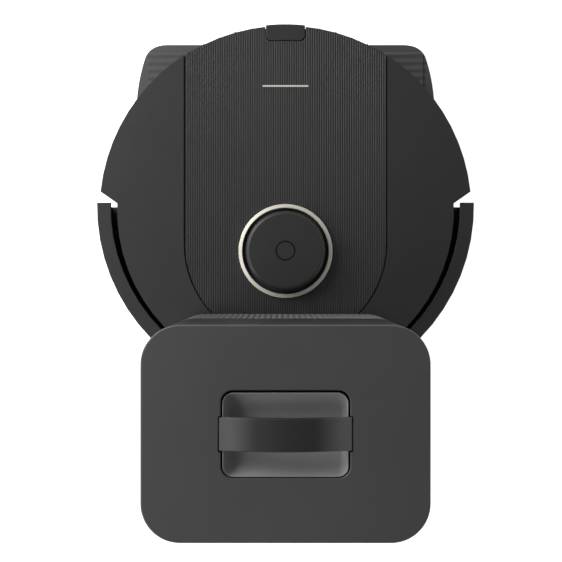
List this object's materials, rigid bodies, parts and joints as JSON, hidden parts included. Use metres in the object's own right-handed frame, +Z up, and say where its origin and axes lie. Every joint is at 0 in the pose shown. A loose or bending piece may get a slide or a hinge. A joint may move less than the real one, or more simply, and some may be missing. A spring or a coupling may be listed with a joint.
{
  "type": "robot vacuum",
  "caption": "Round robot vacuum with a laser turret and a ribbed centre panel, parked nose-first in a self-emptying dock with a tall lidded tower.",
  "frame": {"origin": "on the floor under the middle of the whole object's box", "axes": "+Z up, +Y towards the wall behind the dock, -Y the way the robot drives out, +X to the right seen from the front"},
  "size_m": [0.353, 0.44, 0.3165],
  "materials": {
    "dock": "satin",
    "inner": "matte",
    "rubber": "matte",
    "brass": "satin",
    "ribbed": "satin",
    "bag": "matte",
    "shell": "satin",
    "window": "satin",
    "champagne": "satin",
    "steel": "satin",
    "bristle": "matte",
    "smoke": "satin",
    "filter": "matte",
    "battery": "satin",
    "board": "satin"
  },
  "bodies": {
    "dock": {"base_plate": "dock", "dust_duct": "inner", "duct_riser": "inner", "suction_seal": "rubber", "foot_front_left": "rubber", "foot_front_right": "rubber", "foot_rear_left": "rubber", "foot_rear_right": "rubber", "dock_column": "dock", "dock_head": "dock", "ribbed_front": "ribbed", "dock_rear_cover": "dock", "power_inlet": "inner", "bag_collar": "bag", "dust_bag": "bag", "dock_blower": "inner"},
    "lid": {"dock_lid": "dock", "lid_handle": "dock", "lid_seal": "rubber"},
    "dock_fan": {"dock_impeller": "shell"},
    "pin_left": {"contact_pin_left": "brass"},
    "pin_right": {"contact_pin_right": "brass"},
    "robot": {"chassis": "inner", "upper_housing": "shell", "center_panel": "ribbed", "wall_sensor_window": "window", "charge_pad_left": "brass", "charge_pad_right": "brass", "turret_ring": "champagne", "turret_base": "inner", "lidar_belt": "rubber", "lidar_motor": "steel", "brush_guard": "shell", "side_brush_motor": "inner", "fan_housing": "inner", "battery": "battery", "main_board": "board"},
    "bumper": {"bumper": "shell", "bumper_window": "window"},
    "turret_cap": {"turret_cap": "shell"},
    "lidar_rotor": {"lidar_rotor": "inner"},
    "lidar_pulley": {"lidar_pulley": "inner"},
    "power_button": {"power_button": "shell"},
    "home_button": {"home_button": "shell"},
    "left_suspension": {"left_drive_unit": "inner"},
    "left_wheel": {"left_tyre": "rubber", "left_wheel_hub": "inner"},
    "right_suspension": {"right_drive_unit": "inner"},
    "right_wheel": {"right_tyre": "rubber", "right_wheel_hub": "inner"},
    "caster_fork": {"caster_fork": "inner"},
    "caster_wheel": {"caster_wheel": "rubber"},
    "front_roller": {"front_roller": "rubber"},
    "rear_roller": {"rear_roller": "rubber"},
    "side_brush": {"side_brush": "bristle"},
    "dust_bin": {"dust_bin": "smoke", "bin_cover": "inner", "bin_filter": "filter"},
    "bin_latch": {"bin_latch": "shell"},
    "suction_fan": {"fan_impeller": "shell"}
  },
  "joints": [
    {"name": "robot_drive_out", "type": "slide", "parent": "dock", "child": "robot", "axis": [0, -0.9998, -0.019], "range_m": [0, 0.36]},
    {"name": "lid_lift", "type": "slide", "parent": "dock", "child": "lid", "axis": [0, 0, 1], "range_m": [0, 0.12]},
    {"name": "dock_fan_spin", "type": "hinge", "parent": "dock", "child": "dock_fan", "pos_m": [0.045, 0.1278, 0.12], "axis": [0, 0, 1], "continuous": true},
    {"name": "contact_pin_left_press", "type": "slide", "parent": "dock", "child": "pin_left", "axis": [0, 0, -1], "range_m": [0, 0.002], "stiffness_N_per_m": 300, "springref_m": -0.001},
    {"name": "contact_pin_right_press", "type": "slide", "parent": "dock", "child": "pin_right", "axis": [0, 0, -1], "range_m": [0, 0.002], "stiffness_N_per_m": 300, "springref_m": -0.001},
    {"name": "bumper_press", "type": "slide", "parent": "robot", "child": "bumper", "axis": [0, -1, 0], "range_m": [0, 0.0025], "stiffness_N_per_m": 500, "springref_m": -0.004},
    {"name": "turret_cap_press", "type": "slide", "parent": "robot", "child": "turret_cap", "axis": [0, 0, -1], "range_m": [0, 0.0015], "stiffness_N_per_m": 400, "springref_m": -0.002},
    {"name": "lidar_spin", "type": "hinge", "parent": "robot", "child": "lidar_rotor", "pos_m": [0, -0.0073, 0.07803], "axis": [0, 0, 1], "continuous": true},
    {"name": "lidar_pulley_spin", "type": "hinge", "parent": "robot", "child": "lidar_pulley", "pos_m": [0.058, -0.0073, 0.07003], "axis": [0, 0, 1], "continuous": true},
    {"name": "power_button_press", "type": "slide", "parent": "robot", "child": "power_button", "axis": [0, 0, -1], "range_m": [0, 0.0008], "stiffness_N_per_m": 500, "springref_m": -0.001},
    {"name": "home_button_press", "type": "slide", "parent": "robot", "child": "home_button", "axis": [0, 0, -1], "range_m": [0, 0.0008], "stiffness_N_per_m": 500, "springref_m": -0.001},
    {"name": "left_suspension_lift", "type": "hinge", "parent": "robot", "child": "left_suspension", "pos_m": [-0.099, 0.0032, 0.04803], "axis": [-1, 0, 0], "range_deg": [0, 5], "stiffness_Nm_per_rad": 2, "springref_deg": -17.19},
    {"name": "left_wheel_spin", "type": "hinge", "parent": "left_suspension", "child": "left_wheel", "pos_m": [-0.119, -0.0448, 0.04303], "axis": [1, 0, 0], "continuous": true},
    {"name": "right_suspension_lift", "type": "hinge", "parent": "robot", "child": "right_suspension", "pos_m": [0.099, 0.0032, 0.04803], "axis": [-1, 0, 0], "range_deg": [0, 5], "stiffness_Nm_per_rad": 2, "springref_deg": -17.19},
    {"name": "right_wheel_spin", "type": "hinge", "parent": "right_suspension", "child": "right_wheel", "pos_m": [0.119, -0.0448, 0.04303], "axis": [1, 0, 0], "continuous": true},
    {"name": "caster_swivel", "type": "hinge", "parent": "robot", "child": "caster_fork", "pos_m": [0, 0.0802, 0.03803], "axis": [0, 0, 1], "continuous": true},
    {"name": "caster_roll", "type": "hinge", "parent": "caster_fork", "child": "caster_wheel", "pos_m": [0, 0.0732, 0.02103], "axis": [1, 0, 0], "continuous": true},
    {"name": "front_roller_spin", "type": "hinge", "parent": "robot", "child": "front_roller", "pos_m": [0, -0.0508, 0.02653], "axis": [1, 0, 0], "continuous": true},
    {"name": "rear_roller_spin", "type": "hinge", "parent": "robot", "child": "rear_roller", "pos_m": [0, -0.0848, 0.02653], "axis": [1, 0, 0], "continuous": true},
    {"name": "side_brush_spin", "type": "hinge", "parent": "robot", "child": "side_brush", "pos_m": [0.094, 0.0472, 0.01803], "axis": [0, 0, 1], "continuous": true},
    {"name": "dust_bin_pull", "type": "slide", "parent": "robot", "child": "dust_bin", "axis": [0, -1, 0], "range_m": [0, 0.15]},
    {"name": "bin_latch_press", "type": "slide", "parent": "dust_bin", "child": "bin_latch", "axis": [0, 0, -1], "range_m": [0, 0.0012], "stiffness_N_per_m": 400, "springref_m": -0.001},
    {"name": "suction_fan_spin", "type": "hinge", "parent": "robot", "child": "suction_fan", "pos_m": [-0.076, 0.0452, 0.03803], "axis": [0, 0, 1], "continuous": true}
  ],
  "couplings": [
    {"joint": "rear_roller_spin", "follows": "front_roller_spin", "ratio": -1},
    {"joint": "lidar_pulley_spin", "follows": "lidar_spin", "ratio": 4.4}
  ]
}
